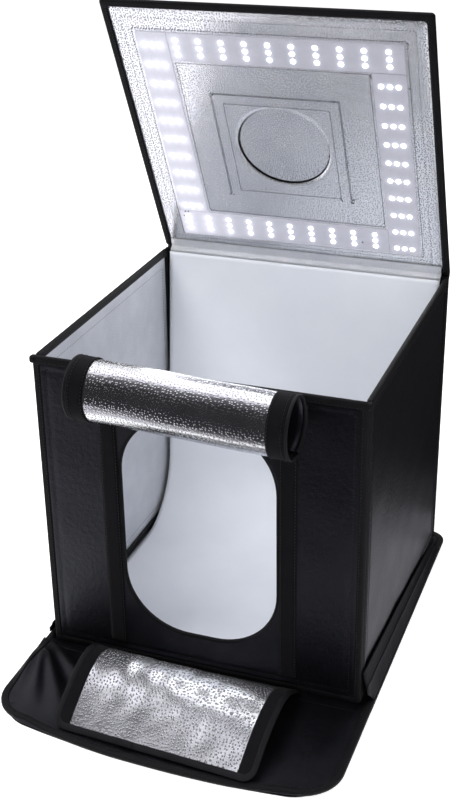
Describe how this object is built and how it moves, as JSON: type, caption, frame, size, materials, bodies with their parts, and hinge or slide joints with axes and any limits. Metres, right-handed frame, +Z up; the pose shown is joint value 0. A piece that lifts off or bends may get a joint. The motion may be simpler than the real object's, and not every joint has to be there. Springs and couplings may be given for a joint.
{
  "type": "light tent cube",
  "caption": "Folding light tent cube: black fabric box with silver lining, LED lid on a rear hinge, camera port, front window with flaps, curved white backdrop and case base.",
  "frame": {"origin": "on the floor, at the middle of the cube's footprint, on the underside of the case base", "axes": "+Z up, -Y out through the front window, +X to the right as seen from the front"},
  "size_m": [0.429, 0.5943, 0.7635],
  "materials": {
    "outer_fabric": "black coated fabric with a fine leather grain",
    "case_fabric": "black woven nylon, slightly creased",
    "grosgrain": "black ribbed binding tape",
    "hook_and_loop": "black hook and loop tape, matt",
    "board": "stiff board, hidden",
    "foam": "thin foam, hidden",
    "silver_film": "pebbled silver film",
    "clear_film": "clear film",
    "circuit_board": "white circuit board with light chips",
    "backdrop_sheet": "matt white sheet",
    "inlet_plastic": "black plastic",
    "contact_metal": "plated contact"
  },
  "bodies": {
    "tent": {"base_cover": "case_fabric", "base_board": "board", "base_lining": "silver_film", "base_binding": "grosgrain", "rear_wall_cover": "outer_fabric", "rear_wall_board": "board", "rear_wall_lining": "silver_film", "rear_wall_binding": "grosgrain", "left_wall_cover": "outer_fabric", "left_wall_board": "board", "left_wall_lining": "silver_film", "left_wall_binding": "grosgrain", "right_wall_cover": "outer_fabric", "right_wall_board": "board", "right_wall_lining": "silver_film", "right_wall_binding": "grosgrain", "front_wall_cover": "outer_fabric", "front_wall_board": "board", "front_wall_lining": "silver_film", "front_wall_binding": "grosgrain", "window_binding": "grosgrain", "window_strip_left": "hook_and_loop", "window_strip_right": "hook_and_loop", "upper_flap_hem": "outer_fabric", "lid_hinge_tape": "outer_fabric", "backdrop": "backdrop_sheet", "backdrop_hang_strip": "hook_and_loop"},
    "lid": {"lid_cover": "outer_fabric", "lid_board": "board", "lid_lining": "silver_film", "lid_binding": "grosgrain", "port_binding": "grosgrain", "led_film": "clear_film", "led_board_front": "circuit_board", "led_board_rear": "circuit_board", "led_board_left": "circuit_board", "led_board_right": "circuit_board", "dc_inlet_shell": "inlet_plastic", "dc_inlet_pin": "contact_metal", "port_cover_hem": "outer_fabric", "port_hook_strip": "hook_and_loop"},
    "port_flap": {"port_loop_strip": "hook_and_loop", "port_cover_lining": "silver_film", "port_cover": "outer_fabric"},
    "rolled_flap": {"upper_flap_cover": "outer_fabric", "upper_flap_lining": "silver_film", "upper_flap_band_left": "hook_and_loop", "upper_flap_band_right": "hook_and_loop"},
    "case_flap": {"case_flap_cover": "case_fabric", "case_flap_foam": "foam", "case_flap_lining": "case_fabric", "case_flap_binding": "grosgrain"},
    "window_flap": {"lower_flap_cover": "outer_fabric", "lower_flap_lining": "silver_film", "lower_flap_band_left": "hook_and_loop", "lower_flap_band_right": "hook_and_loop", "lower_flap_binding": "grosgrain"},
    "left_gusset": {"side_flap_left": "case_fabric"},
    "right_gusset": {"side_flap_right": "case_fabric"}
  },
  "joints": [
    {"name": "lid_hinge", "type": "hinge", "parent": "tent", "child": "lid", "pos_m": [0, 0.2003, 0.4003], "axis": [-1, 0, 0], "range_deg": [-64.16, 115.84]},
    {"name": "port_flap_hinge", "type": "hinge", "parent": "lid", "child": "port_flap", "pos_m": [0, 0.15749, 0.51256], "axis": [-1, 0, 0], "range_deg": [0, 120]},
    {"name": "rolled_flap_swing", "type": "hinge", "parent": "tent", "child": "rolled_flap", "pos_m": [0, -0.2007, 0.3907], "axis": [-1, 0, 0], "range_deg": [0, 10]},
    {"name": "case_flap_fold", "type": "hinge", "parent": "tent", "child": "case_flap", "pos_m": [0, -0.20495, 0.006], "axis": [1, 0, 0], "range_deg": [-45, 0]},
    {"name": "window_flap_fold", "type": "hinge", "parent": "case_flap", "child": "window_flap", "pos_m": [0, -0.2045, 0.0085], "axis": [-1, 0, 0], "range_deg": [0, 90], "deforming": ["lower_flap_cover", "lower_flap_lining", "lower_flap_band_left", "lower_flap_band_right", "lower_flap_binding"]},
    {"name": "left_gusset_fold", "type": "hinge", "parent": "tent", "child": "left_gusset", "pos_m": [-0.2145, 0, 0.0062], "axis": [0, -1, 0], "range_deg": [0, 110]},
    {"name": "right_gusset_fold", "type": "hinge", "parent": "tent", "child": "right_gusset", "pos_m": [0.2145, 0, 0.0062], "axis": [0, 1, 0], "range_deg": [0, 110]}
  ]
}
